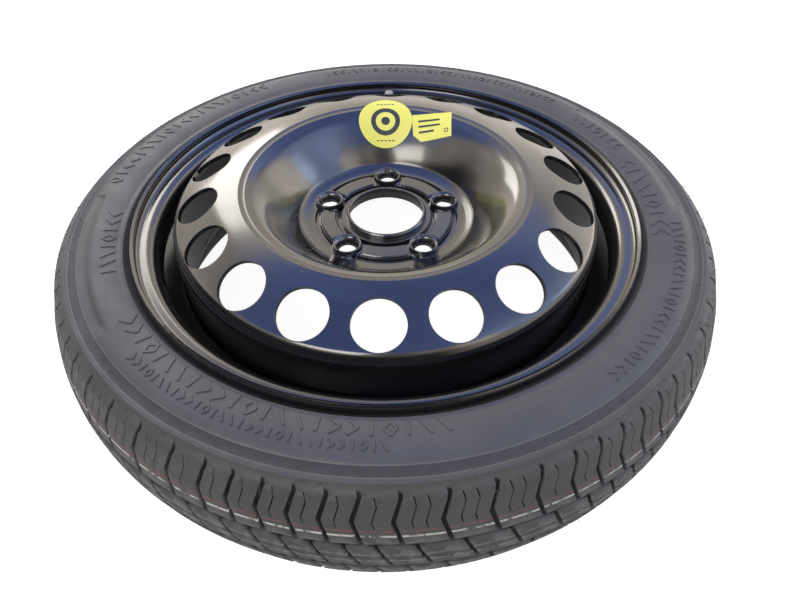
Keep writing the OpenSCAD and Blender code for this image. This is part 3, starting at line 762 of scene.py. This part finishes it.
# World: plain soft light, and a brighter and more uneven sky for the paint to mirror
world = bpy.data.worlds.new("studio")
bpy.context.scene.world = world
world.use_nodes = True
sky = Graph(world.node_tree)
background = sky.tree.nodes["Background"]
direction = sky.node("ShaderNodeTexCoord").outputs["Generated"]
x_axis, y_axis, z_axis = sky.node("ShaderNodeSeparateXYZ", direction).outputs


def toward(azimuth, elevation):
    a, e = math.radians(azimuth), math.radians(elevation)
    return math.cos(a) * math.cos(e), math.sin(a) * math.cos(e), math.sin(e)


def patch(azimuth, elevation, inner, outer):
    """1 within inner degrees of a direction, falling to 0 at outer."""
    near = sky.node("ShaderNodeVectorMath")
    near.operation = "DOT_PRODUCT"
    sky.link(direction, near.inputs[0])
    near.inputs[1].default_value = toward(azimuth, elevation)
    low, high = math.cos(math.radians(outer)), math.cos(math.radians(inner))
    return sky.between(near.outputs["Value"], low, high, soft=True)


# Blue overhead, and beige haze below an edge that dips towards +X
BLUE_TOP = (0.35, 0.54, 1.38)
BLUE_LOW = (0.72, 0.95, 1.85)
HAZE = (1.32, 1.18, 1.02)
DARK = (0.02, 0.02, 0.03)
# Patches of the sky: azimuth, elevation, inner and outer degrees, colour
SKY_PATCHES = (
    (-8, 40, 14, 34, (1.15, 1.5, 2.5)),
    (9, 26, 5, 13, (2.4, 3.0, 4.4)),
    (148, 30, 5, 15, (1.7, 1.5, 1.35)),
    (104, 27, 3, 9, (1.7, 1.55, 1.35)),
    (34, 14, 14, 28, (3.0, 2.7, 2.4)),
    (62, 12, 10, 24, (1.7, 1.55, 1.4)),
    (-72, 41, 5, 12, (1.3, 1.2, 1.1)),
)
# Dark shapes round the camera and to the left: azimuth, elevation, inner and outer degrees, cover
DARK_PATCHES = ((-88, 40, 5, 12, 0.8), (175, 6, 16, 32, 0.9))
edge = sky.math("SUBTRACT", 0.74, sky.times(patch(42, 35, 15, 48), 0.17))
edge = sky.math("SUBTRACT", edge, sky.times(patch(-8, 20, 12, 32), 0.3))
above = sky.between(sky.math("SUBTRACT", z_axis, edge), -0.06, 0.07, soft=True)
blue = sky.mix(sky.between(z_axis, 0.66, 0.80, soft=True), BLUE_LOW, BLUE_TOP)
mirrored = sky.mix(above, HAZE, blue)
for *where, colour in SKY_PATCHES:
    mirrored = sky.mix(patch(*where), mirrored, colour)
# The dark side behind the camera
behind = sky.math("ADD", sky.times(x_axis, -0.64), sky.times(y_axis, -0.77))
dark = sky.times(sky.between(behind, 0.1, 0.5, soft=True), sky.between(z_axis, 0.60, 0.44, soft=True))
for *where, cover in DARK_PATCHES:
    dark = sky.math("MAXIMUM", dark, sky.times(patch(*where), cover))
mirrored = sky.mix(dark, mirrored, DARK)
mirrored = sky.mix(patch(-45, 34, 5, 13), mirrored, (2.6, 2.35, 2.0))
clouds = sky.node("ShaderNodeTexNoise", direction, Scale=2.6, Detail=1.5)
uneven = sky.between(clouds.outputs["Fac"], 0.35, 0.65, 0.85, 1.15, soft=True)
mirrored = sky.mix(1.0, mirrored, uneven, "MULTIPLY")
rays = sky.node("ShaderNodeLightPath").outputs
plain = sky.mix(sky.between(x_axis, -0.8, 0.8, soft=True), (0.86, 0.84, 0.84), (0.52, 0.53, 0.57))
lit = sky.mix(rays["Is Glossy Ray"], plain, mirrored)
sky.link(sky.mix(rays["Is Camera Ray"], lit, (1, 1, 1)), background.inputs["Color"])
background.inputs["Strength"].default_value = 1.0


LAMPS_FAR = 2.9


def lamp(name, azimuth, elevation, size, power, colour):
    data = bpy.data.lights.new(name, "AREA")
    data.shape = "RECTANGLE"
    data.size, data.size_y = size
    data.energy = power
    data.color = colour
    obj = bpy.data.objects.new(name, data)
    bpy.context.scene.collection.objects.link(obj)
    place = Vector(toward(azimuth, elevation)) * LAMPS_FAR
    obj.matrix_world = Matrix.Translation(place) @ (-place).to_track_quat("-Z", "Y").to_matrix().to_4x4()


lamp("key_lamp", 117, 29, (1.05, 1.2), 22, (1, 0.96, 0.9))
lamp("spot_lamp", -121, 42, (1.4, 0.8), 24, (1, 0.95, 0.87))

bpy.context.scene.view_settings.view_transform = "Standard"
